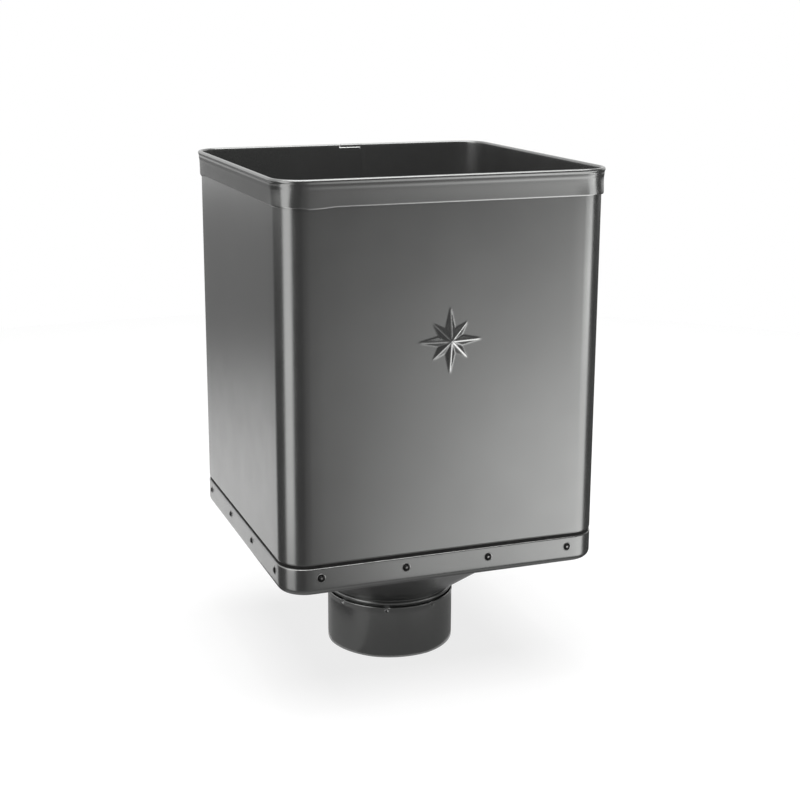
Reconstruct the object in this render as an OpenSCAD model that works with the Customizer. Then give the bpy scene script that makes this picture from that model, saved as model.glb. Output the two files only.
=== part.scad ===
// Downpipe hopper head: a square sheet-metal box with a funnel floor and a round outlet.
// Origin on the outlet's axis at its lower end, +Z up, the front faces -Y.

/* [Box] */
// Outside width of the box, across the front
box_w = 240; // [200:1:320]
// Outside depth of the box, front to back
box_d = 240; // [200:1:320]
// Outside radius of the four upright corners
corner_r = 20; // [14:0.5:32]
// Thickness of the body sheet
sheet_t = 0.7; // [0.5:0.05:1]
// Height of the rim above the upper edge of the pan's flange
wall_h = 268; // [200:1:400]

/* [Hem at the rim] */
// Height of the hem, from the top of its bead to its lower edge
hem_h = 18.6; // [12:0.1:26]
// Inside radius of the rolled bead
bead_inner_r = 0.7; // [0.5:0.05:1.5]
// Radius of the hollow below the bead
neck_r = 6; // [3:0.5:8]
// Gap between the wall and the turned-down layer
hem_gap = 0.3; // [0.2:0.05:0.6]

/* [Step at the lower edge] */
// Inside radius of the two bends that set the lower edge inwards
step_r = 1.5; // [1:0.1:3]
// Height of the step's foot above the flange of the pan
step_rise = 0.3; // [0.2:0.1:1]
// Clearance between the set-in edge and the flange
seat_gap = 0.15; // [0.1:0.05:0.3]

/* [Star on the front] */
// Depth of the star's centre below the rim
star_drop = 114; // [70:1:150]
// Radius of the four long points
star_long_r = 23.2; // [16:0.1:32]
// Radius of the four short points
star_short_r = 17.8; // [12:0.1:24]
// Radius of the corners between the points
star_valley_r = 9.3; // [6:0.1:11]
// Height of the star's middle above the wall
star_h = 3.4; // [1.5:0.1:6]

/* [Seam in the back wall] */
// Sideways place of the seam's middle
seam_x = 8; // [-30:1:30]
// Width of the overlap
lap_w = 18; // [14:0.5:30]
// Clearance between the two layers
lap_gap = 0.15; // [0.1:0.05:0.3]
// Width of the bend that lifts the outer layer over the inner one
lap_bend_w = 4; // [3:0.5:8]
// Depth of the inner layer's cut edge below the rim
tongue_drop = 1.6; // [1:0.1:4]
// Height of the outer layer's cut edge above the step
lap_foot = 1.5; // [1:0.5:10]
// Rivets along the seam
seam_rivets = 4; // [2:1:6]
// Depth of the top rivet below the rim
seam_rivet_drop = 32; // [28:1:50]
// Height of the lowest rivet above the step
seam_rivet_foot = 24; // [12:1:50]

/* [Floor pan] */
// Thickness of the pan's sheet
pan_t = 0.8; // [0.6:0.05:1.2]
// Height of the flange above the underside of the pan
flange_h = 20; // [18:0.5:30]
// How far the flange stands proud of the wall above it
flange_proud = 0.2; // [0:0.05:0.4]
// Outside radius of the bend between the flange and the floor
pan_bend_r = 5.5; // [3:0.5:6]
// Width of floor left flat between the funnel and the nearest wall
funnel_margin = 10; // [8:0.5:20]
// Height of the funnel
funnel_h = 44; // [25:1:80]

/* [Outlet] */
// Outside diameter of the outlet tube
tube_od = 98.6; // [70:0.2:125]
// Thickness of the tube's sheet
tube_t = 0.7; // [0.5:0.05:1]
// Length of the tube
tube_len = 40.4; // [32:0.2:90]
// Clearance between the tube and the collar inside it
slip_gap = 0.3; // [0.2:0.05:0.6]
// Length of collar inside the tube
collar_len = 22; // [16:0.5:28]
// Outside radius of the rib rolled round the collar
rib_r = 1.9; // [1.5:0.1:3]
// Gap between the rib and the tube's upper edge
rib_gap = 1.5; // [0.8:0.1:3]
// Short plain run between the rib and the funnel
rib_rise = 0.3; // [0.2:0.1:3]
// Dents that lock the tube to the collar
dents = 8; // [4:1:12]
// Radius of the punch that makes a dent
dent_r = 2.4; // [1.8:0.1:2.8]
// Depth of a dent
dent_depth = 1.4; // [0.8:0.1:1.6]
// Depth of a dent's middle below the tube's upper edge
dent_drop = 1.2; // [1:0.1:6]

/* [Blind rivets] */
// Rivets on each side of the pan
pan_rivets = 4; // [2:1:6]
// Distance of the end rivets from the box's corners
rivet_edge = 26; // [24:0.5:40]
// Depth of the pan's rivets below the flange's upper edge
rivet_drop = 7; // [5:0.1:8]
// Diameter of the rivet's shank
rivet_d = 3.2; // [2.8:0.1:4]
// Clearance of the shank in its hole, on the radius
rivet_gap = 0.05; // [0.05:0.05:0.2]
// Diameter of the domed head
head_d = 6.5; // [5.5:0.1:8]
// Height of the domed head
head_h = 1; // [0.8:0.1:1.6]
// Diameter of the blind end
bulb_d = 5; // [4.5:0.1:6]
// Length of the blind end
bulb_len = 3.6; // [2.5:0.1:5]
// Diameter of the stem inside the sleeve
stem_d = 1.8; // [1.4:0.1:2]
// Clearance of the stem in the sleeve, on the radius
stem_gap = 0.05; // [0.05:0.01:0.1]
// Depth of the stem's broken end below the top of the head
stem_recess = 0.8; // [0.4:0.1:1.5]
// Diameter of the stem's own head
stem_head_d = 2.9; // [2.5:0.1:3.2]
// Length of the stem's own head
stem_head_len = 1.2; // [0.8:0.1:2]

/* [Hidden] */
$fn = 96;

sheet_color = "#5c5d5a";
rivet_color = "#3a3b3a";
stem_color = "#8a8a88";

// Room that a cutting shape reaches past what it cuts
cut = 1;

// Levels, from the outlet's lower end upwards
rib_z = tube_len + rib_gap + rib_r;
funnel_z = rib_z + rib_r + rib_rise;
pan_z = funnel_z + funnel_h;
flange_z = pan_z + flange_h;
rim_z = flange_z + wall_h;
rivet_z = flange_z - rivet_drop;
body_foot_z = pan_z + pan_bend_r + cut;

// Hem: the bead is tangent to the wall, the neck is tangent to the bead and to the turned-down layer
bead_r = bead_inner_r + sheet_t;
bead_n = bead_inner_r;
bead_z = rim_z - bead_r;
hem_n = hem_gap + sheet_t;
neck_n = hem_n + neck_r;
neck_a = acos((neck_n - bead_n) / (bead_r + neck_r));
neck_z = bead_z - (bead_r + neck_r) * sin(neck_a);

// Step: two equal bends set the lower edge in by the flange's seat
step_in = pan_t + seat_gap - flange_proud;
step_span = 2 * step_r + sheet_t;
step_a = acos(1 - step_in / step_span);
step_low_z = flange_z + step_rise;
step_top_z = step_low_z + step_span * sin(step_a);

// Seam
lap_lo_x = seam_x - lap_w / 2;
lap_hi_x = seam_x + lap_w / 2;
lap_lift = sheet_t + lap_gap;
lap_foot_z = step_top_z + lap_foot;
seam_clear = 0.4;
seam_top_z = rim_z - seam_rivet_drop;
seam_low_z = step_top_z + seam_rivet_foot;
seam_grip = sheet_t + lap_gap + sheet_t;

// Pan and collar
flange_n = flange_proud - pan_t;
funnel_r = min(box_w, box_d) / 2 - funnel_margin;
tube_r = tube_od / 2;
tube_inner_r = tube_r - tube_t;
collar_r = tube_inner_r - slip_gap;
collar_inner_r = collar_r - pan_t;
funnel_slope = funnel_h / (funnel_r - collar_r);
funnel_rise = pan_t * sqrt(1 + funnel_slope * funnel_slope);
pan_grip = pan_t + seat_gap + sheet_t;

// Star: long and short points in turn, with a corner between each pair
star_points = 8;
star_z = rim_z - star_drop;

// Pie slice that an arc is cut with
module slice(r, from, to) {
    steps = 6;
    angles = [for (i = [0:steps]) from + (to - from) * i / steps];
    polygon(concat([[0, 0]], [for (a = angles) r * [cos(a), sin(a)]]));
}

// Stretch of bent sheet, seen in section
module bend(r_in, t, from, to) {
    intersection() {
        difference() {
            circle(r_in + t);
            circle(r_in);
        }
        slice(2 * (r_in + t), from, to);
    }
}

// Upright strip of sheet in section, from n0 to n1 outwards and z0 to z1 upwards
module strip(n0, n1, z0, z1) {
    translate([n0, z0]) square([n1 - n0, z1 - z0]);
}

// Section of the body's wall without its hem, up to the height top
module plain_section(top) {
    strip(-sheet_t, 0, step_top_z, top);
    translate([-sheet_t - step_r, step_top_z]) bend(step_r, sheet_t, -step_a, 0);
    translate([-step_in + step_r, step_low_z]) bend(step_r, sheet_t, 180 - step_a, 180);
    strip(-step_in - sheet_t, -step_in, body_foot_z, step_low_z);
}

// Section of the hem: bead, hollow neck and turned-down layer
module hem_section() {
    translate([bead_n, bead_z]) {
        bend(bead_inner_r, sheet_t, -neck_a, 90);
        bend(bead_inner_r, sheet_t, 90, 180);
    }
    translate([neck_n, neck_z]) bend(neck_r, sheet_t, 180 - neck_a, 180);
    strip(hem_gap, hem_n, rim_z - hem_h, neck_z);
}

// Section of the body's wall with its hem
module wall_section() {
    plain_section(bead_z);
    hem_section();
}

// Straight run of a section along the back wall, from x0 to x1
module back_run(x0, x1) {
    translate([x0, box_d / 2, 0]) rotate([90, 0, 90]) linear_extrude(x1 - x0) children();
}

// Length of one side between its corners, and how far it lies from the axis: back, left, front, right
function side_len(i) = (i % 2 == 0 ? box_w : box_d) - 2 * corner_r;
function side_out(i) = (i % 2 == 0 ? box_d : box_w) / 2;

// A section swept along the listed sides and round all four corners
module sweep(sides) {
    for (i = sides) {
        rotate([0, 0, 90 * i])
            translate([-side_len(i) / 2, side_out(i), 0])
            rotate([90, 0, 90]) linear_extrude(side_len(i)) children();
    }
    for (i = [0:3]) {
        rotate([0, 0, 90 * i])
            translate([-side_len(i) / 2, side_out(i) - corner_r, 0])
            rotate([0, 0, 90]) rotate_extrude(angle = 90) translate([corner_r, 0]) children();
    }
}

// Places on all four sides, with local Z pointing outwards and starting out from the wall
module pan_rivet_places(out) {
    for (i = [0:3]) {
        span = (i % 2 == 0 ? box_w : box_d) - 2 * rivet_edge;
        for (k = [0:pan_rivets - 1]) {
            rotate([0, 0, 90 * i])
                translate([-span / 2 + span * k / (pan_rivets - 1), side_out(i) + out, rivet_z])
                rotate([-90, 0, 0]) children();
        }
    }
}

// Places down the seam, with local Z pointing outwards
module seam_rivet_places(out) {
    pitch = (seam_top_z - seam_low_z) / (seam_rivets - 1);
    for (k = [0:seam_rivets - 1]) {
        translate([seam_x, box_d / 2 + out, seam_top_z - pitch * k]) rotate([-90, 0, 0]) children();
    }
}

// Hole for a rivet, through everything within reach of its head
module rivet_hole(grip) {
    translate([0, 0, -grip - cut]) cylinder(r = rivet_d / 2 + rivet_gap, h = grip + 2 * cut);
}

// Faceted star on its back, as a solid that reaches root below its outline
module star(root) {
    count = 2 * star_points;
    function reach(i) = i % 2 == 1 ? star_valley_r : i % 4 == 0 ? star_long_r : star_short_r;
    function turn(i) = 360 * i / count;
    function ring(z) = [for (i = [0:count - 1]) [reach(i) * cos(turn(i)), reach(i) * sin(turn(i)), z]];
    points = concat(ring(-root), ring(0), [[0, 0, star_h]]);
    floor_face = [[for (i = [0:count - 1]) i]];
    sides = [for (i = [0:count - 1]) let (j = (i + 1) % count) [j, i, count + i, count + j]];
    facets = [for (i = [0:count - 1]) let (j = (i + 1) % count) [count + j, count + i, 2 * count]];
    polyhedron(points, concat(floor_face, sides, facets));
}

module star_place(out) {
    translate([0, -box_d / 2 - out, star_z]) rotate([90, 0, 0]) children();
}

module body_shell() {
    color(sheet_color) difference() {
        union() {
            sweep([1, 2, 3]) wall_section();
            back_run(-side_len(0) / 2, lap_lo_x) wall_section();
            back_run(lap_lo_x, lap_hi_x) plain_section(rim_z - tongue_drop);
            back_run(lap_hi_x + seam_clear + lap_bend_w, side_len(0) / 2) wall_section();
            seam_outer_layer();
            star_place(0) star(sheet_t / 2);
        }
        star_place(-sheet_t) star(sheet_t);
        pan_rivet_places(flange_proud) rivet_hole(pan_grip);
        seam_rivet_places(lap_lift) rivet_hole(seam_grip);
    }
}

// End of the sheet that laps over the outside of the seam, with the short stretch below it that only butts
module seam_outer_layer() {
    bend_lo_x = lap_hi_x + seam_clear;
    bend_hi_x = bend_lo_x + lap_bend_w;
    translate([0, lap_lift, 0]) {
        back_run(lap_lo_x + seam_clear, bend_lo_x) strip(-sheet_t, 0, lap_foot_z, bead_z);
        back_run(lap_lo_x + seam_clear, bend_hi_x) hem_section();
    }
    translate([0, box_d / 2, lap_foot_z]) linear_extrude(bead_z - lap_foot_z) polygon([
        [bend_lo_x, lap_lift],
        [bend_hi_x, 0],
        [bend_hi_x, -sheet_t],
        [bend_lo_x, lap_lift - sheet_t]
    ]);
    back_run(bend_lo_x, bend_hi_x) plain_section(lap_foot_z - seam_clear);
}

// Section of the flange, its bend and the edge of the floor
module flange_section() {
    strip(flange_n, flange_proud, pan_z + pan_bend_r, flange_z);
    translate([flange_proud - pan_bend_r, pan_z + pan_bend_r]) bend(pan_bend_r - pan_t, pan_t, -90, 0);
}

// Plan of the floor inside the bend
module floor_plan() {
    inset = pan_bend_r - flange_proud;
    r = corner_r - inset;
    square([box_w - 2 * inset, box_d - 2 * corner_r], center = true);
    square([box_w - 2 * corner_r, box_d - 2 * inset], center = true);
    for (x = [-1, 1], y = [-1, 1]) {
        translate([x * (box_w / 2 - corner_r), y * (box_d / 2 - corner_r)]) circle(r);
    }
}

// Section of the funnel, the rib and the collar, from the axis outwards
module funnel_section() {
    lip_r = funnel_r + (pan_t - funnel_rise) / funnel_slope;
    polygon([
        [funnel_r, pan_z],
        [lip_r, pan_z + pan_t],
        [collar_inner_r, funnel_z - pan_t * funnel_slope + funnel_rise],
        [collar_inner_r, funnel_z],
        [collar_r, funnel_z]
    ]);
    strip(collar_inner_r, collar_r, rib_z + rib_r - pan_t, funnel_z + pan_t / 2);
    strip(collar_inner_r, collar_r, tube_len - collar_len, rib_z - rib_r + pan_t);
    translate([collar_inner_r, rib_z]) {
        bend(rib_r - pan_t, pan_t, -90, 0);
        bend(rib_r - pan_t, pan_t, 0, 90);
    }
}

// Punch places round the upper end of the tube
module dent_places() {
    for (k = [0:dents - 1]) {
        rotate([0, 0, 360 * (k + 0.5) / dents])
            translate([tube_r + dent_r - dent_depth, 0, tube_len - dent_drop]) children();
    }
}

module floor_pan() {
    collar_dent_r = dent_r + tube_t + slip_gap;
    color(sheet_color) difference() {
        union() {
            sweep([0, 1, 2, 3]) flange_section();
            translate([0, 0, pan_z]) linear_extrude(pan_t) difference() {
                floor_plan();
                circle(funnel_r + (pan_t - funnel_rise) / funnel_slope);
            }
            rotate_extrude() funnel_section();
            intersection() {
                dent_places() sphere(collar_dent_r + pan_t);
                translate([0, 0, tube_len - collar_len])
                    cylinder(r = collar_r - pan_t / 2, h = collar_len + rib_gap);
            }
        }
        dent_places() sphere(collar_dent_r);
        pan_rivet_places(flange_proud) rivet_hole(pan_grip);
    }
}

module outlet_tube() {
    color(sheet_color) difference() {
        union() {
            difference() {
                cylinder(r = tube_r, h = tube_len);
                translate([0, 0, -cut]) cylinder(r = tube_inner_r, h = tube_len + 2 * cut);
            }
            intersection() {
                dent_places() sphere(dent_r + tube_t);
                cylinder(r = tube_r - tube_t / 2, h = tube_len);
            }
        }
        dent_places() sphere(dent_r);
    }
}

// Sleeve of a set blind rivet, with its head's seat at Z 0 and the blind end below
module rivet_sleeve(grip) {
    hole_r = stem_d / 2 + stem_gap;
    dome_r = (head_d * head_d / 4 + head_h * head_h) / (2 * head_h);
    rotate_extrude() {
        intersection() {
            translate([0, head_h - dome_r]) circle(dome_r);
            strip(hole_r, head_d / 2, 0, head_h);
        }
        strip(hole_r, rivet_d / 2, -grip - pan_t / 2, pan_t / 4);
        polygon([
            [hole_r, -grip],
            [bulb_d / 2, -grip],
            [bulb_d / 2, -grip - bulb_len / 2],
            [rivet_d / 2, -grip - bulb_len],
            [hole_r, -grip - bulb_len]
        ]);
    }
}

// Stem left in a set blind rivet: its head under the blind end, its broken end inside the domed head
module rivet_stem(grip) {
    foot = -grip - bulb_len;
    translate([0, 0, foot - stem_head_len]) cylinder(r = stem_head_d / 2, h = stem_head_len);
    translate([0, 0, foot]) cylinder(r = stem_d / 2, h = head_h - stem_recess - foot);
}

module pan_rivet_sleeves() {
    color(rivet_color) pan_rivet_places(flange_proud) rivet_sleeve(pan_grip);
}

module pan_rivet_stems() {
    color(stem_color) pan_rivet_places(flange_proud) rivet_stem(pan_grip);
}

module seam_rivet_sleeves() {
    color(rivet_color) seam_rivet_places(lap_lift) rivet_sleeve(seam_grip);
}

module seam_rivet_stems() {
    color(stem_color) seam_rivet_places(lap_lift) rivet_stem(seam_grip);
}

body_shell();
floor_pan();
outlet_tube();
pan_rivet_sleeves();
pan_rivet_stems();
seam_rivet_sleeves();
seam_rivet_stems();
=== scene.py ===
import math
import bmesh
import bpy
from mathutils import Matrix, Vector, noise


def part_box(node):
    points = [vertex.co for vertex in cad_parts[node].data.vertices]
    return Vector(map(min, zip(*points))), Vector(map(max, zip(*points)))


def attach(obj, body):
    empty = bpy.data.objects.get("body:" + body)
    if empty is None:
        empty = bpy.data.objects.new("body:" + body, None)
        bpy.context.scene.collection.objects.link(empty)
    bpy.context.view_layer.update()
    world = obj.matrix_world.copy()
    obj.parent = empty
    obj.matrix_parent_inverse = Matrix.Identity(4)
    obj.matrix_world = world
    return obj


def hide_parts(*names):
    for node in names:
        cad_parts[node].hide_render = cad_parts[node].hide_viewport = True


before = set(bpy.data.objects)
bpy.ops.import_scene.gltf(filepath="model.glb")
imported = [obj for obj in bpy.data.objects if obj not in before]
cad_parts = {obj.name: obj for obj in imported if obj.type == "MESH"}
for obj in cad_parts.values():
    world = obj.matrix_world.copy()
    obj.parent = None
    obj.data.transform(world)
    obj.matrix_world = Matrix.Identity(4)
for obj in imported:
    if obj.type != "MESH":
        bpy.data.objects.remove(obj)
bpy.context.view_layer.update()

# Body: one sheet of coil-coated aluminium, bent round four upright corners and lapped in the back wall.
# Its upper edge is rolled over a bead and turned down as a hem. Its lower edge is set in for the pan, and
# the joint there is painted dark as shade. The star is pressed out from behind before the sheet is bent.
MM = 0.001
back_side, front_side = 0, 2
wall_low, wall_high = (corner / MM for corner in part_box("body_shell"))
rim_z = wall_high.z
foot_z = wall_low.z
half_box = 120
corner_r = 20
half_flat = half_box - corner_r
body_t = 0.7
crease_angle = math.radians(40)
foot_rows = (99, 107)
step_low_z = 110.3
step_top_z = 113.8
step_in = 0.75
step_r = 0.9
step_bend_rows = 4
step_slope_rows = 5
edge_roll = 0.9
edge_roll_rows = 7
bead_r = 1.2
bead_end = math.radians(-40)
bead_rows = 18
hem_drop = 18.6
hem_edge_n = 0.4
hem_roll_run = 1.2
# The hem's section below the bead: outwards from the wall's face, and down from the rim.
hem_neck = ((1.58, 2.7), (1.51, 3), (1.49, 3.4), (1.49, 4), (1.485, 4.5), (1.46, 5), (1.38, 5.5))
hem_band = ((1.27, 6), (1.18, 6.5), (1.13, 7), (1.09, 7.7), (0.99, 9), (0.83, 11), (0.6, 14))
hem_flare_drop = 6
hem_corner_flare = 1.1
hem_flare_w = 12
hem_corner_dip = 1.8
hem_dip_at = 4
hem_dip_w = 6
lap_lo_x = -1
lap_hi_x = 17
lap_bend_w = 4
lap_gap = 1.4
lap_lift = 0.85
lap_foot_z = 114.03
tongue_top_z = rim_z - 2.6
tongue_slant = 0.4
tongue_lip_reach = 0.1
rows_under_star = [118, 128, 150, 175, 200, 220, 235]
rows_over_star = [294, 310, 330, 345, 354, 358, 361, 366, 371, 374]
wall_steps = 15
beside_star_steps = 9
corner_steps = 18
tongue_steps = 10
past_tongue_steps = 10
before_lap_steps = 9
lap_bend_steps = 7
lap_steps = 8
star_z = 264
star_points = 8
star_long_r = 24.4
star_short_r = 18.2
star_valley_r = 9.3
star_h = 3.4
star_softness = 0.6
star_soft_places = 8
star_off_centre = 0.01
star_steps = 96
star_reach = 25
ridge_rise = 0.2
wave_h = 0.1
wave_len = 70
wave_fade = 30
wave_top_z = rim_z - 26
# Top of the band above the pan's flange that is painted dark as shade in the joint.
joint_shade_top_z = 112.4
coat_index, cut_index, joint_shade_index = range(3)
coat_dark = (0.2, 0.202, 0.199, 1)
coat_light = (0.232, 0.234, 0.23, 1)
# Pale coat: at edges that roll over, and as painted highlights along the star's ridges.
coat_pale = (0.75, 0.75, 0.74, 1)
cut_bright = (0.72, 0.72, 0.71, 1)
cut_dull = (0.5, 0.5, 0.49, 1)
# Colours of the painted shade in the joint above the pan's flange.
joint_shade_dark = (0.012, 0.012, 0.012, 1)
joint_shade_pale = (0.04, 0.04, 0.038, 1)


def spread(start, end, count):
    """Evenly spaced values from start to end, both included."""
    return [start + (end - start) * i / (count - 1) for i in range(count)]


def straight_line(start, end, count):
    """Evenly spaced points of a section from start to end, both included."""
    return list(zip(spread(start[0], end[0], count), spread(start[1], end[1], count)))


def arc(centre, radius, start, end, count):
    """Points of an arc in section, with angles in radians."""
    return [
        (centre[0] + radius * math.cos(a), centre[1] + radius * math.sin(a))
        for a in spread(start, end, count)
    ]


def ease(value):
    """Smooth change from 0 to 1."""
    value = min(max(value, 0), 1)
    return value * value * (3 - 2 * value)


def star_height(across, up):
    """Height of the star above the wall: facets that rise from its outline to its middle.
    Long tips, valleys, short tips and valleys take turns round the outline."""
    turn = math.tau / (2 * star_points)
    angle = math.atan2(up, across) % math.tau
    first = int(angle / turn)
    ends = []
    for i in (first, first + 1):
        tip_r = star_long_r if i % 4 == 0 else star_short_r
        reach = star_valley_r if i % 2 else tip_r
        ends.append(Vector((reach * math.cos(i * turn), reach * math.sin(i * turn))))
    here, there = ends
    edge = there - here
    ray = Vector((math.cos(angle), math.sin(angle)))
    outline = (here.x * there.y - here.y * there.x) / (ray.x * edge.y - ray.y * edge.x)
    return star_h * max(0, 1 - math.hypot(across, up) / outline)


def pressed_star(across, up):
    """The star with its creases rounded as the press leaves them: the mean height round a place."""
    if math.hypot(across, up) > star_reach:
        return 0
    places = arc((0, 0), star_softness, 0, math.tau, star_soft_places + 1)[:-1]
    places.append((star_off_centre, star_off_centre))
    heights = [star_height(across + dx, up + dz) for dx, dz in places]
    return sum(heights) / len(heights)


def rolled_edge(inner, thickness, start, end):
    """Rows of a sheared edge whose outer side rolls over to the cut:
    (outwards, up, share of the thickness). The inner side stays flat."""
    rows = []
    for s in spread(0, 1, edge_roll_rows):
        share = 1 - edge_roll * (1 - math.sqrt(1 - s * s))
        rows.append((inner + share * thickness / 2, start + (end - start) * s, share))
    return rows


def rounded(points, radius, count):
    """A polyline with its inner corners rounded to a radius."""
    line = [Vector(p) for p in points]
    found = [line[0]]
    for before, corner, after in zip(line, line[1:], line[2:]):
        back = (before - corner).normalized()
        ahead = (after - corner).normalized()
        cut = radius / math.tan(back.angle(ahead) / 2)
        for s in spread(0, 1, count):
            found.append(corner + cut * ((1 - s) ** 2 * back + s ** 2 * ahead))
    return [tuple(p) for p in found + [line[-1]]]


def wall_section():
    """The sheet's middle line from its foot up to the bead and down the hem:
    (outwards, up, share of the thickness)."""
    middle = -body_t / 2
    set_in = middle - step_in
    foot = [(set_in, z) for z in (foot_z, *foot_rows)]
    step = [foot[-1], (set_in, step_low_z), (middle, step_top_z), (middle, rim_z)]
    bent = rounded(step, step_r, step_bend_rows)
    lower_bend = bent[:step_bend_rows + 1]
    upper_bend = bent[step_bend_rows + 1:-1]
    slope = straight_line(lower_bend[-1], upper_bend[0], step_slope_rows)[1:-1]
    rows = foot[:-1] + lower_bend + slope + upper_bend
    star_rows = spread(star_z - star_reach, star_z + star_reach, star_steps)
    heights = [lap_foot_z] + rows_under_star + star_rows + rows_over_star + [tongue_top_z]
    rows += [(middle, z) for z in heights]
    bead_centre = (middle + bead_r, rim_z - bead_r - body_t / 2)
    rows += arc(bead_centre, bead_r, math.pi, bead_end, bead_rows)
    rows += [(n, rim_z - drop) for n, drop in hem_neck + hem_band]
    hem_z = rim_z - hem_drop
    hem_edge = rolled_edge(hem_edge_n + middle, body_t, hem_z + hem_roll_run, hem_z)
    return [(n, z, 1) for n, z in rows] + hem_edge


def side_station(side, along):
    """Place on a side's outer face, its outward direction, its side (back, left, front, right)
    and its distance past the bend before it."""
    turn = Matrix.Rotation(math.radians(90 * side), 2)
    return turn @ Vector((-along, half_box)), turn @ Vector((0, 1)), side, along + half_flat


def corner_stations(side):
    """The bend that follows a side, measured back from its end."""
    turn = Matrix.Rotation(math.radians(90 * side), 2)
    found = []
    for a in spread(math.radians(90), math.radians(180), corner_steps)[1:-1]:
        outward = turn @ Vector((math.cos(a), math.sin(a)))
        place = turn @ Vector((-half_flat, half_flat)) + corner_r * outward
        found.append((place, outward, side, corner_r * (a - math.pi)))
    return found


def body_stations():
    """The sheet's run from the tongue of the seam round the box to the end that laps over it."""
    tongue = spread(-lap_hi_x, -lap_lo_x, tongue_steps)
    back = tongue + spread(-lap_lo_x, half_flat, past_tongue_steps)[1:]
    plain = spread(-half_flat, half_flat, wall_steps)
    starred = spread(-half_flat, -star_reach, beside_star_steps)
    starred += spread(-star_reach, star_reach, star_steps)[1:]
    starred += spread(star_reach, half_flat, beside_star_steps)[1:]
    found = []
    for side, places in enumerate((back, plain, starred, plain)):
        found += [side_station(side, along) for along in places]
        found += corner_stations(side)
    bend_end = -lap_hi_x - lap_gap
    bend_start = bend_end - lap_bend_w
    lapping = spread(-half_flat, bend_start, before_lap_steps)
    lapping += spread(bend_start, bend_end, lap_bend_steps)[1:]
    lapping += spread(bend_end, -lap_lo_x - lap_gap, lap_steps)[1:]
    for along in lapping:
        place, outward, side, past_bend = side_station(back_side, along)
        lift = lap_lift * ease((along - bend_start) / lap_bend_w)
        found.append((place + lift * outward, outward, side, past_bend))
    return found


def body_point(station, row, is_hem):
    """Point of the body's sheet, with the star, the sheet's slight waves and the hem's flared corners."""
    place, outward, side, past_bend = station
    n, z, share = row
    is_flat = past_bend >= 0
    if is_flat and not is_hem:
        if side == front_side:
            n += pressed_star(place.x, z - star_z)
        along = place.x if side in (back_side, front_side) else place.y
        from_edges = min(half_flat - abs(along), z - step_top_z, wave_top_z - z)
        wave = noise.noise(Vector((place.x, place.y, z)) / wave_len)
        n += wave_h * ease(from_edges / wave_fade) * wave
    if is_hem:
        down = ease((rim_z - hem_flare_drop - z) / (hem_drop - hem_flare_drop))
        from_dip = (past_bend - hem_dip_at) / hem_dip_w
        from_flare = (past_bend + corner_r * math.pi / 4) / hem_flare_w
        z -= hem_corner_dip * down * math.exp(-from_dip ** 2)
        n += hem_corner_flare * down * math.exp(-from_flare ** 2)
    spot = place + n * outward
    return Vector((spot.x, spot.y, z)) * MM


def ridge_highlight(station, row, is_hem):
    """Painted highlight along the star's ridges: how pale the coat is painted, 1 along the ridges, 0 away
    from them.
    """
    place, outward, side, past_bend = station
    across, up = place.x, row[1] - star_z
    if side != front_side or past_bend < 0 or is_hem or math.hypot(across, up) > star_reach:
        return 0
    return ease((star_height(across, up) - pressed_star(across, up)) / ridge_rise)


def sheet_mesh(name, lines, shares, thickness, edge_and_highlight_paleness=None, keeps=None, ring=False):
    """Sheet metal as a closed mesh: a grid of middle points given its thickness, with bare cut edges.
    shares holds the share of the thickness at each point along a line. The paleness grid holds where the
    coat is painted pale as a highlight, and edges that roll over are paler too."""
    form = bmesh.new()
    weight = form.verts.layers.deform.verify()
    pale_share = form.verts.layers.float.new("edge_and_highlight_paleness")
    grid = [[form.verts.new(point) for point in line] for line in lines]
    for i, line in enumerate(grid):
        for j, (vert, share) in enumerate(zip(line, shares)):
            vert[weight][0] = share
            vert[pale_share] = max(1 - share, edge_and_highlight_paleness[i][j] if edge_and_highlight_paleness else 0)
    pairs = len(grid) if ring else len(grid) - 1
    for i in range(pairs):
        here, there = grid[i], grid[(i + 1) % len(grid)]
        for j in range(len(here) - 1):
            if keeps is None or keeps(i, j):
                form.faces.new((here[j], there[j], there[j + 1], here[j + 1]))
    loose = [v for v in form.verts if not v.link_faces]
    bmesh.ops.delete(form, geom=loose, context="VERTS")
    mesh = bpy.data.meshes.new(name)
    form.to_mesh(mesh)
    form.free()
    sheet = bpy.data.objects.new(name, mesh)
    bpy.context.collection.objects.link(sheet)
    sheet.vertex_groups.new(name="thickness")
    thicken = sheet.modifiers.new("thickness", "SOLIDIFY")
    thicken.vertex_group = "thickness"
    thicken.thickness = thickness * MM
    thicken.offset = 0
    thicken.use_even_offset = True
    thicken.material_offset_rim = cut_index
    return sheet


def settle(piece, materials):
    """Applies a piece's modifiers, gives it its materials, and shades bends smooth and edges sharp."""
    for material in materials:
        piece.data.materials.append(material)
    ready = piece.evaluated_get(bpy.context.evaluated_depsgraph_get())
    mesh = bpy.data.meshes.new_from_object(ready)
    piece.modifiers.clear()
    piece.data = mesh
    mesh.name = piece.name
    form = bmesh.new()
    form.from_mesh(mesh)
    bmesh.ops.recalc_face_normals(form, faces=form.faces)
    form.to_mesh(mesh)
    form.free()
    mesh.shade_smooth()
    mesh.set_sharp_from_angle(angle=crease_angle)
    return piece


def node_adder(tree):
    """A function that adds a node to a tree, with the node's settings and inputs."""

    def add(kind, inputs=None, **settings):
        node = tree.nodes.new(kind)
        for key, value in settings.items():
            setattr(node, key, value)
        for key, value in (inputs or {}).items():
            if isinstance(value, bpy.types.NodeSocket):
                tree.links.new(value, node.inputs[key])
            else:
                node.inputs[key].default_value = value
        return node

    return add


def new_finish(name):
    """A material, its node tree and shader, and the function that adds nodes to it."""
    material = bpy.data.materials.new(name)
    material.use_nodes = True
    tree = material.node_tree
    return material, tree, tree.nodes["Principled BSDF"], node_adder(tree)


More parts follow.
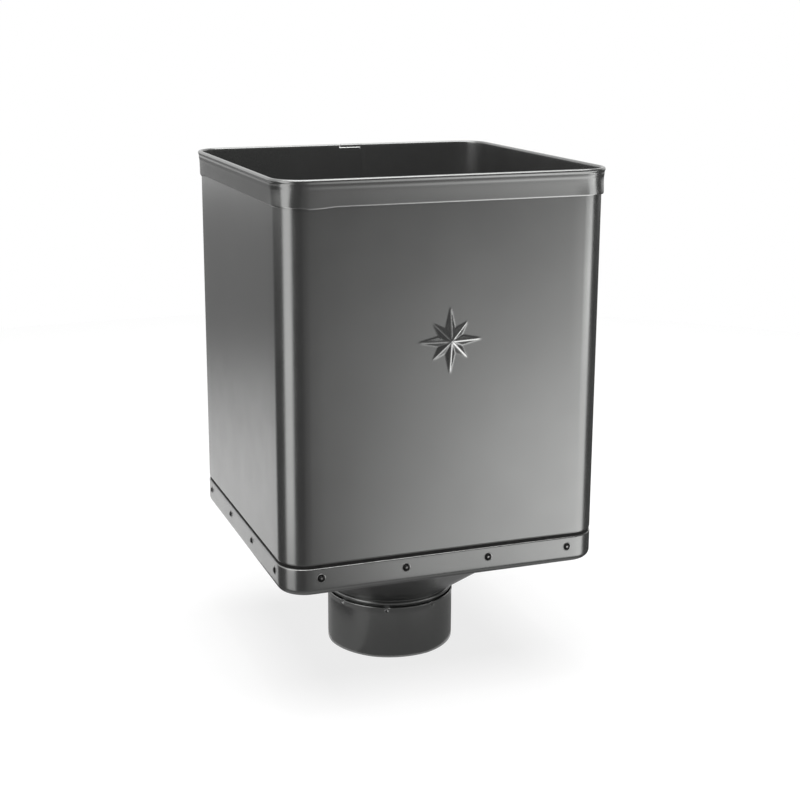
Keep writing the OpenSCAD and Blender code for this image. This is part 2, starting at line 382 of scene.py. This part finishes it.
def noise_map(add, where, scale, detail, low, high):
    """Noise of a scale per metre, stretched from its usual spread to a range of values."""
    usual_low, usual_high = 0.15, 0.85
    grain = add("ShaderNodeTexNoise", {"Vector": where, "Scale": scale, "Detail": detail})
    ranges = {"From Min": usual_low, "From Max": usual_high, "To Min": low, "To Max": high}
    return add("ShaderNodeMapRange", {"Value": grain.outputs["Fac"], **ranges}).outputs["Result"]


def coated_sheet():
    """Baked dark grey coat: fine orange peel and faint mottling, paler where edges roll over, with
    highlights painted pale along the star's ridges.
    """
    material, tree, shader, add = new_finish("dark_grey_coat")
    where = add("ShaderNodeTexCoord").outputs["Object"]
    mottle = noise_map(add, where, scale=14, detail=4, low=0.2, high=0.8)
    grain = noise_map(add, where, scale=1400, detail=2, low=-0.15, high=0.15)
    tone = add("ShaderNodeMath", {0: mottle, 1: grain}, operation="ADD").outputs["Value"]
    tones = {"Factor": tone, "A": coat_dark, "B": coat_light}
    mixed = add("ShaderNodeMix", tones, data_type="RGBA").outputs["Result"]
    # Paler coat at rolled edges, and painted highlights along the star's ridges.
    pale_share = add("ShaderNodeAttribute", attribute_name="edge_and_highlight_paleness").outputs["Fac"]
    paled = add("ShaderNodeMix", {"Factor": pale_share, "A": mixed, "B": coat_pale}, data_type="RGBA")
    tree.links.new(paled.outputs["Result"], shader.inputs["Base Color"])
    gloss = noise_map(add, where, scale=40, detail=5, low=0.22, high=0.28)
    tree.links.new(gloss, shader.inputs["Roughness"])
    peel = add("ShaderNodeTexNoise", {"Vector": where, "Scale": 900, "Detail": 2})
    bump = add("ShaderNodeBump", {"Height": peel.outputs["Fac"], "Strength": 0.06, "Distance": 0.0001})
    tree.links.new(bump.outputs["Normal"], shader.inputs["Normal"])
    shader.inputs["Metallic"].default_value = 0.85
    return material


def two_tone(name, colours, blotches, gloss, metallic):
    """Finish that wanders between two colours and two roughnesses.
    blotches and gloss hold what noise_map takes for them."""
    material, tree, shader, add = new_finish(name)
    where = add("ShaderNodeTexCoord").outputs["Object"]
    tone = noise_map(add, where, low=0, high=1, **blotches)
    tones = {"Factor": tone, "A": colours[0], "B": colours[1]}
    mixed = add("ShaderNodeMix", tones, data_type="RGBA")
    tree.links.new(mixed.outputs["Result"], shader.inputs["Base Color"])
    tree.links.new(noise_map(add, where, **gloss), shader.inputs["Roughness"])
    shader.inputs["Metallic"].default_value = metallic
    return material


def sheared_edge():
    """Bare aluminium where the coated sheet was cut: bright, with the fine drag lines of the shear."""
    blotches = {"scale": 500, "detail": 3}
    drag = {"scale": 2600, "detail": 3, "low": 0.3, "high": 0.5}
    return two_tone("sheared_edge", (cut_bright, cut_dull), blotches, drag, metallic=1)


def painted_joint_shade():
    """Painted shade: a dull dark finish on the step above the pan's flange, where the step keeps out the
    light.
    """
    blotches = {"scale": 300, "detail": 4}
    dullness = {"scale": 900, "detail": 3, "low": 0.6, "high": 0.9}
    material = two_tone("painted_joint_shade", (joint_shade_dark, joint_shade_pale), blotches, dullness, metallic=0)
    shader = material.node_tree.nodes["Principled BSDF"]
    shader.inputs["Specular IOR Level"].default_value = 0.2
    return material


section = wall_section()
stations = body_stations()
tongue_row = next(j for j, row in enumerate(section) if row[1] >= tongue_top_z)
lap_row = next(j for j, row in enumerate(section) if row[1] >= lap_foot_z)
tongue_end = tongue_steps - 1
lap_start = len(stations) - lap_steps


def body_keeps(i, j):
    """The tongue has no hem, and the layer that laps over it ends above the step."""
    if i < tongue_end:
        return j < tongue_row
    return i < lap_start or j >= lap_row


body_lines = []
# Highlights painted pale along the star's ridges.
body_ridge_highlight = []
for station in stations:
    body_lines.append([body_point(station, row, j > tongue_row) for j, row in enumerate(section)])
    body_ridge_highlight.append([ridge_highlight(station, row, j > tongue_row) for j, row in enumerate(section)])
body_shares = [share for n, z, share in section]
coat = coated_sheet()
cut_edge = sheared_edge()
body_sheet = sheet_mesh("body", body_lines, body_shares, body_t, body_ridge_highlight, body_keeps)
body = settle(body_sheet, [coat, cut_edge, painted_joint_shade()])
# The outer faces of the set-in step above the flange take the painted shade of the joint.
for face in body.data.polygons:
    outwards = face.normal.xy.dot(face.center.xy) > 0
    on_step = step_low_z < face.center.z / MM < joint_shade_top_z
    if outwards and on_step and face.material_index == coat_index:
        face.material_index = joint_shade_index

# The tongue's cut edge slants, with its inner corners lower than its outer ones.
tongue_lip = Vector(((lap_lo_x + lap_hi_x) / 2, half_box - body_t, tongue_top_z))
lip_half_w = (lap_hi_x - lap_lo_x) / 2 + tongue_lip_reach
for vertex in body.data.vertices:
    away = vertex.co / MM - tongue_lip
    if abs(away.x) < lip_half_w and max(abs(away.y), abs(away.z)) < tongue_lip_reach:
        vertex.co.z -= tongue_slant * MM
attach(body, "root")
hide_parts("body_shell")

# Floor pan: a second coated sheet, drawn into a funnel and a collar, with its rim turned up as a flange.
# The flange stands outside the body's set-in edge and is riveted to it.
# A rib rolled round the collar stops the outlet tube, and dents lock the tube on.
pan_t = 0.8
flange_z = 110
flange_n = -0.2
flange_roll_run = 0.8
flange_rows = (106, 101, 97.5)
pan_z = 90
pan_bend_r = 5.1
pan_bend_rows = 12
pan_floor_rows = 5
funnel_r = 109.9
funnel_flat_r = 112.9
funnel_bend_r = 4
funnel_bend_rows = 6
funnel_foot_z = 46.2
funnel_rows = 12
collar_r = 47.4
funnel_aim = (collar_r + 2, funnel_foot_z + 1.4)
funnel_end = (collar_r + 1, funnel_foot_z + 0.7)
collar_top = (collar_r + 0.1, funnel_foot_z)
rib_z = 43.8
rib_r = 1.5
rib_n = 47.2
rib_turn = math.radians(80)
rib_rows = 14
collar_rows = spread(41.8, 36.2, 14) + [33, 28, 23, 18.4]
dents = 8
dent_z = 39.2
dent_depth = 1.4
dent_reach = 2.7
dent_offsets = (0.9, 1.8, 2.7, 3.6, 5, 7, 10, 14, 18)
pan_corner_half = 5.6
pan_corner_steps = 17
pan_corner_clear = math.radians(0.8)


def dent_push(angle, z):
    """How far a dent pushes the sheet in at an angle round the outlet and a height."""
    pitch = math.tau / dents
    off = (angle % pitch) - pitch / 2
    away = math.hypot(off * collar_r, z - dent_z) / dent_reach
    return dent_depth * (0.5 + 0.5 * math.cos(math.pi * min(away, 1)))


def outlet_angles():
    """Angles round the outlet, closer together at the dents."""
    half_pitch = 180 / dents
    offsets = [-half_pitch, *(-a for a in reversed(dent_offsets)), 0, *dent_offsets]
    return [math.radians(half_pitch * (2 * k + 1) + a) for k in range(dents) for a in offsets]


def square_reach(angle, n):
    """Distance from the axis to the box's outline at an angle, with the outline moved out by n."""
    a = abs((angle + math.pi / 4) % (math.pi / 2) - math.pi / 4)
    reach = (half_box + n) / math.cos(a)
    if reach * math.sin(a) > half_flat:
        middle = half_flat * (math.cos(a) + math.sin(a))
        reach = middle + math.sqrt(middle * middle - 2 * half_flat * half_flat + (corner_r + n) ** 2)
    return reach


def round_point(r, angle, z):
    """Point at a distance from an upright axis, an angle round it and a height."""
    return Vector((r * math.cos(angle), r * math.sin(angle), z)) * MM


flange_edge = rolled_edge(flange_n - pan_t / 2, pan_t, flange_z - flange_roll_run, flange_z)[::-1]


def pan_line(angle):
    """The pan's middle line at one angle, from the flange's edge down to the collar's foot."""
    floor_z = pan_z + pan_t / 2
    rows = [(square_reach(angle, n), z) for n, z, share in flange_edge]
    rows += [(square_reach(angle, flange_n), z) for z in flange_rows]
    bend_centre = (flange_n - pan_bend_r, floor_z + pan_bend_r)
    bend = arc(bend_centre, pan_bend_r, 0, -math.pi / 2, pan_bend_rows)
    rows += [(square_reach(angle, n), z) for n, z in bend]
    rows += straight_line(rows[-1], (funnel_flat_r, floor_z), pan_floor_rows)[1:-1]
    entry = [(funnel_flat_r, floor_z), (funnel_r, floor_z), funnel_aim]
    rows += rounded(entry, funnel_bend_r, funnel_bend_rows)[1:-1]
    rows += straight_line(rows[-1], funnel_end, funnel_rows)[1:]
    rows.append(collar_top)
    rows += arc((rib_n, rib_z), rib_r, rib_turn, -rib_turn, rib_rows)
    rows += [(collar_r - dent_push(angle, z), z) for z in collar_rows]
    return [round_point(r, angle, z) for r, z in rows]


corner_spread = spread(-pan_corner_half, pan_corner_half, pan_corner_steps)
corner_angles = [math.radians(45 + 90 * k + a) for k in range(4) for a in corner_spread]
pan_angles = list(corner_angles)
for angle in outlet_angles():
    if min(abs(angle - other) for other in corner_angles) > pan_corner_clear:
        pan_angles.append(angle)
pan_lines = [pan_line(angle) for angle in sorted(pan_angles)]
pan_shares = [share for n, z, share in flange_edge]
pan_shares += [1] * (len(pan_lines[0]) - len(pan_shares))
pan = settle(sheet_mesh("pan", pan_lines, pan_shares, pan_t, ring=True), [coat, cut_edge])
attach(pan, "root")
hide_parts("floor_pan")

# Outlet tube: a strip of the same sheet rolled to a spigot that enters the downpipe.
# The rolls leave faint flats, and the dents near its upper edge lock it to the collar.
tube_t = 0.7
tube_r = 48.95
tube_len = 40.4
tube_flats = 7
flat_start = math.radians(-73.3)
flat_depth = 0.4
lip_rise = 0.6
lip_flare = 0.5
lip_roll_run = 0.6
lip_foot_z = 36.2
lip_roll = rolled_edge(-tube_t / 2, tube_t, tube_len - lip_roll_run, tube_len)[::-1]
tube_heights = spread(39.5, lip_foot_z, 10) + [33, 28, 20, 10, 3, 0.4, 0]


def tube_line(angle):
    """The tube's middle line at one angle, from its upper edge down."""
    turn = math.tau / tube_flats
    off = ((angle - flat_start) % turn) - turn / 2
    flat = flat_depth * (math.cos(off) - math.cos(turn / 2)) / (1 - math.cos(turn / 2))
    free_lip = 1 - dent_push(angle, dent_z) / dent_depth
    line = []
    for n, z in [(n, z) for n, z, share in lip_roll] + [(0, z) for z in tube_heights]:
        lip = ease((z - lip_foot_z) / (tube_len - lip_foot_z)) * free_lip
        r = tube_r + n - flat * (1 - lip) + lip_flare * lip - dent_push(angle, z)
        line.append(round_point(r, angle, z + lip_rise * lip))
    return line


tube_lines = [tube_line(angle) for angle in outlet_angles()]
tube_shares = [share for n, z, share in lip_roll] + [1] * len(tube_heights)
tube = settle(sheet_mesh("outlet_spigot", tube_lines, tube_shares, tube_t, ring=True), [coat, cut_edge])
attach(tube, "root")
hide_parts("outlet_tube")

# Blind rivets: black lacquered aluminium sleeves with low domed heads, four on each side of the pan
# and four down the seam, each set by a steel stem that broke off inside the head.
# The curves are points of the turned section: a radius, and a height or depth from the piece's own end.
rivet_z = 103
rivet_places = (-94, -31.33, 31.33, 94)
flange_proud = 0.2
pan_grip = 1.65
seam_x = 8
seam_grip = 1.55
seam_rivet_count = 4
seam_rivet_top = 346
seam_rivet_foot = 136.53
head_h = 1
hole_r = 0.95
hole_curve = ((hole_r, 0.2), (hole_r, 0.95))
boss_r = 1.05
boss_round = 0.85
boss_start = math.radians(96)
boss_end = math.radians(24)
boss_rows = 9
skirt_rows = 4
brim_r = 2.75
brim_h = 0.2
brim_curve = ((2.95, 0.18), (3.1, 0.15), (3.2, 0.09), (3.25, 0.03), (3.2, 0))
shank_r = 1.6
bulb_len = 3.6
bulb_curve = ((2.35, 0), (2.5, 0.4), (2.55, 1.2), (2.35, 2.2), (1.85, 2.9), (1.6, 3.4), (1.4, 3.6))
stem_recess = 0.3
stem_break_curve = ((0, 0.03), (0.45, 0.02), (0.765, 0), (0.9, -0.1))
stem_head_curve = ((0.9, 0), (1.45, 0), (1.45, 0.9), (1.15, 1.2), (0, 1.25))
sleeve_sides = 36
stem_sides = 20
lacquer_index, bare_index = range(2)
rivet_black = (0.01, 0.01, 0.01, 1)
rivet_worn = (0.03, 0.03, 0.03, 1)
rivet_metal = (0.34, 0.34, 0.335, 1)
rivet_dull = (0.22, 0.22, 0.215, 1)
stem_steel = (0.5, 0.49, 0.48, 1)
stem_dull = (0.3, 0.295, 0.29, 1)


def sleeve_profile(grip):
    """A set sleeve: boss round the stem's hole, sloping skirt, rim, and folded blind end below the grip."""
    boss = arc((boss_r, head_h - boss_round), boss_round, boss_start, boss_end, boss_rows)
    skirt = straight_line(boss[-1], (brim_r, brim_h), skirt_rows)[1:]
    shank = [(shank_r, 0), (shank_r, -grip)]
    blind = [(r, -grip - depth) for r, depth in bulb_curve]
    end = [(hole_r, -grip - bulb_len)]
    return [*hole_curve, *boss, *skirt, *brim_curve, *shank, *blind, *end]


def sleeve_finish(r, z):
    """Lacquer covers the head inside its brim. The brim, the shank and the blind end are bare."""
    return lacquer_index if z > 0 and r < brim_r else bare_index


def stem_profile(grip):
    """A spent stem: ragged end in the head, shank, and its own head under the blind end."""
    top = head_h - stem_recess
    foot = -grip - bulb_len
    broken = [(r, top + rise) for r, rise in stem_break_curve]
    return broken + [(r, foot - depth) for r, depth in stem_head_curve]


def turned(name, profile, places, sides, finish=None):
    """A profile (radius, height) turned about its axis and repeated at the places in one mesh.
    It starts and ends on the axis, or closes on itself. finish gives a face's material from its middle."""
    form = bmesh.new()
    closes = profile[0][0] > 0
    pairs = len(profile) if closes else len(profile) - 1
    angles = spread(0, math.tau, sides + 1)[:-1]
    for place in places:
        rings = []
        for r, z in profile:
            if r == 0:
                rings.append([form.verts.new(place @ round_point(0, 0, z))] * sides)
            else:
                rings.append([form.verts.new(place @ round_point(r, a, z)) for a in angles])
        for k in range(pairs):
            after = (k + 1) % len(rings)
            here, there = rings[k], rings[after]
            middle = [(a + b) / 2 for a, b in zip(profile[k], profile[after])]
            for i in range(sides):
                beside = (i + 1) % sides
                corners = (here[i], here[beside], there[beside], there[i])
                face = form.faces.new(dict.fromkeys(corners))
                face.material_index = finish(*middle) if finish else 0
    mesh = bpy.data.meshes.new(name)
    form.to_mesh(mesh)
    form.free()
    piece = bpy.data.objects.new(name, mesh)
    bpy.context.collection.objects.link(piece)
    return piece


def rivet_lacquer():
    """Black lacquer over the sleeve, rubbed slightly paler where the tool's nose pressed the dome."""
    rubs = {"scale": 700, "detail": 4}
    gloss = {"scale": 1500, "detail": 3, "low": 0.1, "high": 0.18}
    return two_tone("black_rivet_lacquer", (rivet_black, rivet_worn), rubs, gloss, metallic=0.85)


def rivet_aluminium():
    """Bare aluminium of the rivets, scuffed by the setting tool."""
    scuffs = {"scale": 900, "detail": 4}
    gloss = {"scale": 2000, "detail": 3, "low": 0.18, "high": 0.34}
    return two_tone("bare_rivet_aluminium", (rivet_metal, rivet_dull), scuffs, gloss, metallic=1)


def broken_steel():
    """Zinc-dulled steel of the stems, grainy where it snapped."""
    grains = {"scale": 1200, "detail": 4}
    gloss = {"scale": 3000, "detail": 2, "low": 0.35, "high": 0.6}
    return two_tone("snapped_steel", (stem_steel, stem_dull), grains, gloss, metallic=1)


def outward_place(side, along, out, z):
    """Transform whose Z points out of a side of the box."""
    lean = Matrix.Rotation(math.radians(-90), 4, "X")
    place = Matrix.Translation(Vector((-along, half_box + out, z)) * MM) @ lean
    return Matrix.Rotation(math.radians(90 * side), 4, "Z") @ place


lacquer = rivet_lacquer()
aluminium = rivet_aluminium()
steel = broken_steel()
pan_rivets = []
for side in range(4):
    pan_rivets += [outward_place(side, along, flange_proud, rivet_z) for along in rivet_places]
seam_heights = spread(seam_rivet_top, seam_rivet_foot, seam_rivet_count)
seam_rivets = [outward_place(back_side, -seam_x, lap_lift, z) for z in seam_heights]
for label, places, grip in (("pan_rivet", pan_rivets, pan_grip), ("seam_rivet", seam_rivets, seam_grip)):
    heads = turned(label + "_heads", sleeve_profile(grip), places, sleeve_sides, sleeve_finish)
    sleeves = settle(heads, [lacquer, aluminium])
    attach(sleeves, "root")
    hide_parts(label + "_sleeves")
    stems = settle(turned(label + "_spent_stems", stem_profile(grip), places, stem_sides), [steel])
    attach(stems, "root")
    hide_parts(label + "_stems")

# Studio: a round white table under a ceiling of soft light, in a room that is dark towards the camera.
# Light panels and cards lie round the object, where only reflections see them. A small lamp over the
# open top lights the inside. Lengths are in metres and azimuths in degrees, with 0 at the front.
table_r = 1.3
table_white = (0.25, 0.25, 0.25, 1)
table_glow = 0.8
room_r = 3.5
room_foot = (room_r, -1.2)
room_edge = (room_r, -0.02)
room_top = (room_r, 6.4)
sky_white = (1, 1, 1, 1)
sky_seen = 1
sky_on_matt = 0.15
left_bend = (-0.108, -0.108)
right_bend = (0.108, -0.108)
camera_in_front = (-0.378, 0.794)
all_round = (0, 360)


def seen_ray(add):
    """1 for a ray from the camera, off a gloss or through glass, and 0 for one off a matt surface."""
    ray = add("ShaderNodeLightPath").outputs
    direct = {0: ray["Is Camera Ray"], 1: ray["Is Glossy Ray"]}
    mirrored = add("ShaderNodeMath", direct, operation="MAXIMUM").outputs["Value"]
    every = {0: mirrored, 1: ray["Is Transmission Ray"]}
    return add("ShaderNodeMath", every, operation="MAXIMUM").outputs["Value"]


def white_table():
    """Material that shows its own white to the camera and to reflections, and takes the object's shadow."""
    material, tree, shader, add = new_finish("white_table")
    tree.nodes.remove(shader)
    matte = add("ShaderNodeBsdfDiffuse", {"Color": table_white}).outputs[0]
    lamp = add("ShaderNodeEmission", {"Strength": table_glow}).outputs[0]
    lit = add("ShaderNodeAddShader", {0: matte, 1: lamp}).outputs[0]
    mixed = add("ShaderNodeMixShader", {0: seen_ray(add), 1: matte, 2: lit})
    tree.links.new(mixed.outputs[0], tree.nodes["Material Output"].inputs["Surface"])
    return material


def glowing(name, strength):
    """Even glow that fades out towards the edges of a card."""
    material, tree, shader, add = new_finish(name)
    tree.nodes.remove(shader)
    fade = add("ShaderNodeAttribute", attribute_name="fade").outputs["Fac"]
    clear = add("ShaderNodeBsdfTransparent").outputs[0]
    lamp = add("ShaderNodeEmission", {"Strength": strength}).outputs[0]
    mixed = add("ShaderNodeMixShader", {0: fade, 1: clear, 2: lamp})
    tree.links.new(mixed.outputs[0], tree.nodes["Material Output"].inputs["Surface"])
    return material


def stage_ring(name, material, azimuths, near, far, centre=(0, 0), soft=(0, 0), fade_in=0, fade_out=0):
    """Part of a ring round a centre, from near to far (radius, height).
    soft gives the degrees over which its two ends fade, fade_in and fade_out the shares of its width."""
    columns, rows = 61, 25
    points, fades, faces = [], [], []
    for i, azimuth in enumerate(spread(*azimuths, columns)):
        a = math.radians(azimuth)
        ends = (azimuth - azimuths[0], azimuths[1] - azimuth)
        fade = min(ease(gap / width) if width else 1 for gap, width in zip(ends, soft))
        for j, s in enumerate(spread(0, 1, rows)):
            r, z = (n + (f - n) * s for n, f in zip(near, far))
            points.append((centre[0] + r * math.sin(a), centre[1] - r * math.cos(a), z))
            rise = ease(s / fade_in) if fade_in else 1
            fall = ease((1 - s) / fade_out) if fade_out else 1
            fades.append(fade * rise * fall)
            if i and j:
                corner = i * rows + j
                faces.append((corner, corner - 1, corner - rows - 1, corner - rows))
    mesh = bpy.data.meshes.new(name)
    mesh.from_pydata(points, [], faces)
    mesh.attributes.new("fade", "FLOAT", "POINT").data.foreach_set("value", fades)
    mesh.materials.append(material)
    ring = bpy.data.objects.new(name, mesh)
    bpy.context.collection.objects.link(ring)
    return ring


def flat_card(name, material, azimuths, radii, height, **edges):
    """A card that lies level at a height, with its centre and soft edges as stage_ring takes them."""
    near, far = ((r, height) for r in radii)
    return stage_ring(name, material, azimuths, near, far, **edges)


def soft_box(name, place, aim, size, radiance):
    """Rectangular lamp of an even radiance, turned towards a point and hidden from the camera."""
    lamp = bpy.data.lights.new(name, "AREA")
    lamp.shape = "RECTANGLE"
    lamp.size, lamp.size_y = size
    lamp.energy = radiance * math.pi * size[0] * size[1]
    box = bpy.data.objects.new(name, lamp)
    box.location = place
    box.rotation_euler = (Vector(aim) - Vector(place)).to_track_quat("-Z", "Y").to_euler()
    box.visible_camera = False
    bpy.context.collection.objects.link(box)
    return box


stage_ring("table", white_table(), all_round, near=(0, 0), far=(table_r, 0))
panel = glowing("light_panel", strength=2.1)
bright = glowing("bright_panel", strength=2.6)
low = glowing("low_panel", strength=1.45)
sheen = glowing("far_panel", strength=0.68)
strip = glowing("strip_panel", strength=2.3)
far_strip = glowing("far_strip", strength=3.8)
grey = glowing("grey_card", strength=0.25)
dark = glowing("dark_card", strength=0.11)
floor = glowing("dark_floor", strength=0.3)
near_card = glowing("near_card", strength=0.45)
tube_grey = glowing("tube_grey", strength=0.24)
tube_pale = glowing("tube_pale", strength=0.38)
reflectors = [
    stage_ring("room_floor", floor, all_round, near=room_foot, far=room_edge),
    stage_ring(
        "room_front", dark, azimuths=(-105, 105), near=room_edge, far=room_top,
        soft=(15, 15), fade_out=0.15,
    ),
    flat_card(
        "front_grey", grey, azimuths=(-54, 80), radii=(0.1, 3.4), height=0.003,
        centre=left_bend, soft=(2, 10),
    ),
    flat_card(
        "front_dark", dark, azimuths=(-54, -2), radii=(0.1, 3.4), height=0.004,
        centre=left_bend, soft=(2, 16),
    ),
    stage_ring(
        "left_panel", panel, azimuths=(-91, -52), near=(0.28, 0.005), far=(1.3, 0.45),
        centre=left_bend, soft=(2, 2), fade_in=0.04,
    ),
    stage_ring(
        "left_high", panel, azimuths=(-104, -45), near=(1.3, 0.45), far=(1.0, 1.6),
        centre=left_bend, soft=(4, 8), fade_out=0.2,
    ),
    flat_card(
        "rear_left_dark", dark, azimuths=(-152, -90), radii=(0.07, 3.4), height=0.004,
        centre=left_bend, soft=(8, 2),
    ),
    flat_card(
        "rear_grey", floor, azimuths=(-178, -120), radii=(0.45, 1.3), height=0.003,
        soft=(4, 10), fade_in=1,
    ),
    flat_card(
        "far_panel", sheen, azimuths=(14.9, 41), radii=(1.9, 6), height=0.004,
        centre=camera_in_front, soft=(16.4, 3), fade_in=0.1, fade_out=0.8,
    ),
    flat_card(
        "right_panel", bright, azimuths=(14.9, 41), radii=(1.12, 2.75), height=0.005,
        centre=camera_in_front, soft=(16.4, 3), fade_in=0.03, fade_out=0.78,
    ),
    flat_card(
        "low_panel", low, azimuths=(17, 25.5), radii=(1.12, 1.46), height=0.0052,
        centre=camera_in_front, soft=(6, 2.5), fade_in=0.03, fade_out=0.65,
    ),
    flat_card(
        "right_strip", strip, azimuths=(27, 71), radii=(0.24, 5), height=0.0055,
        centre=right_bend, soft=(6, 6), fade_in=0.02, fade_out=0.2,
    ),
    flat_card(
        "far_strip", far_strip, azimuths=(33, 71), radii=(0.6, 3.4), height=0.006,
        centre=right_bend, soft=(26, 6), fade_in=0.5,
    ),
    flat_card(
        "right_dark", dark, azimuths=(62, 150), radii=(0.07, 3.4), height=0.0065,
        centre=right_bend, soft=(8, 10),
    ),
    flat_card(
        "under_front", grey, azimuths=(-75, 105), radii=(0.204, 0.285), height=0.006,
        soft=(2, 10), fade_out=0.15,
    ),
    flat_card(
        "under_rear", dark, azimuths=(-185, -75), radii=(0.1, 0.2), height=0.006,
        soft=(10, 2), fade_out=0.15,
    ),
    flat_card(
        "under_star", near_card, azimuths=(-75, 105), radii=(0.14, 0.204), height=0.006,
        soft=(2, 10),
    ),
    flat_card(
        "tube_right", tube_grey, azimuths=(-60, 120), radii=(0.0503, 0.15), height=0.0007,
        soft=(0, 10),
    ),
    flat_card(
        "tube_left", tube_pale, azimuths=(-180, -50), radii=(0.0503, 0.15), height=0.0008,
        soft=(10, 4),
    ),
]
for reflector in reflectors:
    reflector.visible_camera = False
    reflector.visible_diffuse = False
    reflector.visible_shadow = False
outlet_end = (0, 0, 0)
soft_box("ceiling_light", place=(0, -0.2, 2.0), aim=outlet_end, size=(2.2, 2.2), radiance=3.3)
inside_light = soft_box("inside_light", place=(0, 0, 1.0), aim=outlet_end, size=(0.3, 0.3), radiance=20)
inside_light.visible_glossy = False

world = bpy.data.worlds.new("white_studio")
bpy.context.scene.world = world
world.use_nodes = True
sky = world.node_tree
add_to_sky = node_adder(sky)
levels = {"Value": seen_ray(add_to_sky), "To Min": sky_on_matt, "To Max": sky_seen}
level = add_to_sky("ShaderNodeMapRange", levels)
sky.links.new(level.outputs["Result"], sky.nodes["Background"].inputs["Strength"])
sky.nodes["Background"].inputs["Color"].default_value = sky_white

# Camera: above and to the left of the front, as the photograph was taken.
# It looks down a little, with a small shift that sets the object in the frame.
camera_place = (-0.3785, -1.0342, 0.4844)
camera_yaw = 19.38
camera_pitch = 13.63
lens = bpy.data.cameras.new("camera")
lens.lens = 66.45
lens.sensor_width = 36
lens.shift_x = 0.035
lens.shift_y = -0.04
lens.clip_start = 0.01
camera = bpy.data.objects.new("camera", lens)
camera.location = camera_place
camera.rotation_euler = (math.radians(90 - camera_pitch), 0, math.radians(-camera_yaw))
bpy.context.collection.objects.link(camera)
bpy.context.scene.camera = camera
bpy.context.scene.view_settings.view_transform = "Standard"
